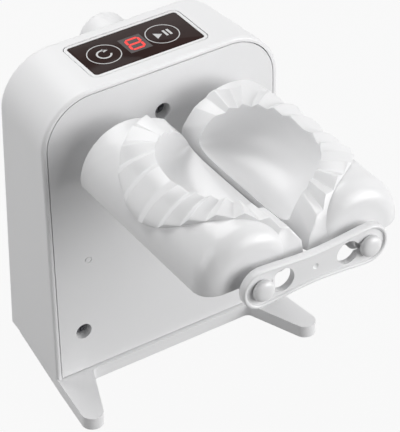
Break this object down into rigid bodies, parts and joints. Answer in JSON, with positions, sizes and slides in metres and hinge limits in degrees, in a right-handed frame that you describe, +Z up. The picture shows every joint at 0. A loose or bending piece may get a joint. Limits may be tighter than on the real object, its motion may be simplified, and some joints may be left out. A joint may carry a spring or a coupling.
{
  "type": "dough press",
  "caption": "Upright electric press with an arched housing, two half-round mould rollers with pleated rims, a link bar across their ends and splayed toes.",
  "frame": {"origin": "on the surface it stands on, under the middle of the whole object", "axes": "+X to the right across the front panel as a person facing it sees it, +Y from the rollers to the back, +Z up"},
  "size_m": [0.1204, 0.1644, 0.1484],
  "materials": {
    "white_shell": "white satin moulded plastic",
    "white_panel": "white satin moulded plastic",
    "white_roller": "white satin moulded plastic",
    "pad_rubber": "matt dark rubber",
    "screw_steel": "zinc plated steel",
    "dark_screw": "darkened steel",
    "plate_steel": "rolled sheet steel",
    "bronze": "plain turned brass",
    "shaft_steel": "ground steel",
    "gear_plastic": "natural acetal",
    "gearbox_metal": "die-cast and plated",
    "can_steel": "nickel plated drawn steel",
    "dark_lens": "glossy brown-black",
    "board_green": "lacquered circuit board",
    "display_dark": "dark display block",
    "pad_spring": "conductive foam",
    "cell_wrap": "heat-shrink sleeve",
    "dark_plastic": "moulded black plastic",
    "red_wire": "wire insulation",
    "black_wire": "wire insulation"
  },
  "bodies": {
    "body": {"housing_shell": "white_shell", "front_panel": "white_panel", "base_plate": "white_shell", "foot_pads": "pad_rubber", "base_screws": "screw_steel", "panel_screws": "dark_screw", "gear_plate_screws": "screw_steel", "motor_screws": "screw_steel", "gear_plate": "plate_steel", "panel_bushes": "bronze", "plate_bushes": "bronze", "link_bar": "white_roller", "gearbox": "gearbox_metal", "motor_can": "can_steel", "control_frame": "white_panel", "control_lens": "dark_lens", "control_board": "board_green", "digit_display": "display_dark", "touch_pads": "pad_spring", "battery_cell": "cell_wrap", "battery_cradle": "dark_plastic", "battery_contacts": "bronze", "charge_socket": "can_steel", "charge_board": "board_green", "battery_lead_plus": "red_wire", "battery_lead_minus": "black_wire", "motor_lead_plus": "red_wire", "motor_lead_minus": "black_wire", "charge_lead_plus": "red_wire", "charge_lead_minus": "black_wire"},
    "left_roller": {"left_mould": "white_roller", "left_end_pin": "white_roller", "left_drive_hub": "white_roller", "left_hub_pin": "shaft_steel", "left_shaft": "shaft_steel", "left_drive_gear": "gear_plastic", "left_gear_clip": "screw_steel"},
    "right_roller": {"right_mould": "white_roller", "right_end_pin": "white_roller", "right_drive_hub": "white_roller", "right_hub_pin": "shaft_steel", "right_shaft": "shaft_steel", "right_drive_gear": "gear_plastic", "right_gear_clip": "screw_steel"},
    "motor_rotor": {"motor_pinion": "bronze"}
  },
  "joints": [
    {"name": "left_roller_spin", "type": "hinge", "parent": "body", "child": "left_roller", "pos_m": [-0.025, 0.0312, 0.11467], "axis": [0, 1, 0], "continuous": true},
    {"name": "right_roller_spin", "type": "hinge", "parent": "body", "child": "right_roller", "pos_m": [0.025, 0.0312, 0.11467], "axis": [0, 1, 0], "continuous": true},
    {"name": "motor_spin", "type": "hinge", "parent": "body", "child": "motor_rotor", "pos_m": [-0.01534, 0.0612, 0.08495], "axis": [0, 1, 0], "continuous": true}
  ],
  "couplings": [
    {"joint": "right_roller_spin", "follows": "left_roller_spin", "ratio": -1},
    {"joint": "motor_spin", "follows": "left_roller_spin", "ratio": -4}
  ]
}
